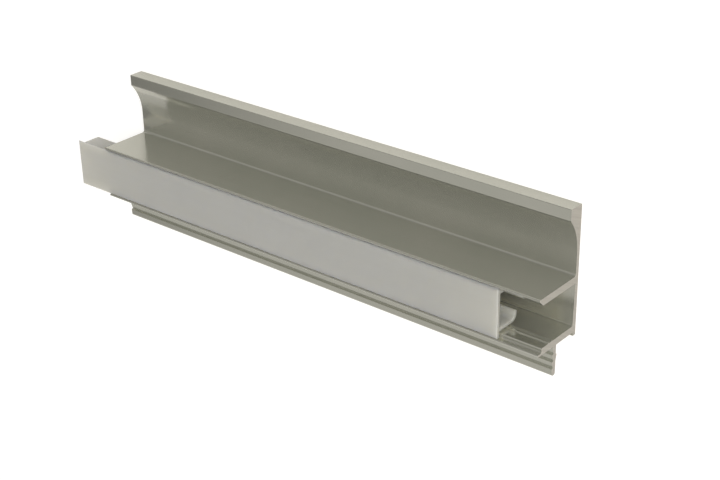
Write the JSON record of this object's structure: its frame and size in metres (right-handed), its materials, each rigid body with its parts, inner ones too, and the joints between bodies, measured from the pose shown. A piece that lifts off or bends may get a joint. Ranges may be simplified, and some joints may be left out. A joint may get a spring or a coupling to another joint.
{
  "type": "handleless finger pull profile",
  "caption": "Short aluminium finger pull profile with lip, finger hollow, light channel, foot and barbed leg, and a white plastic cover that slides in the channel.",
  "frame": {"origin": "middle of the web's flat back face", "axes": "+X along the length, +Y up the web from the foot to the lip, +Z out of the back face towards the front"},
  "size_m": [0.205, 0.0538, 0.0208],
  "materials": {
    "anodised_aluminium": "clear anodised, satin, with fine lengthwise die lines",
    "opal_plastic": "translucent white, smooth satin"
  },
  "bodies": {
    "profile": {"profile": "anodised_aluminium"},
    "cover": {"light_cover": "opal_plastic"}
  },
  "joints": [
    {"name": "cover_slide", "type": "slide", "parent": "profile", "child": "cover", "axis": [1, 0, 0], "range_m": [-0.04, 0.015]}
  ]
}
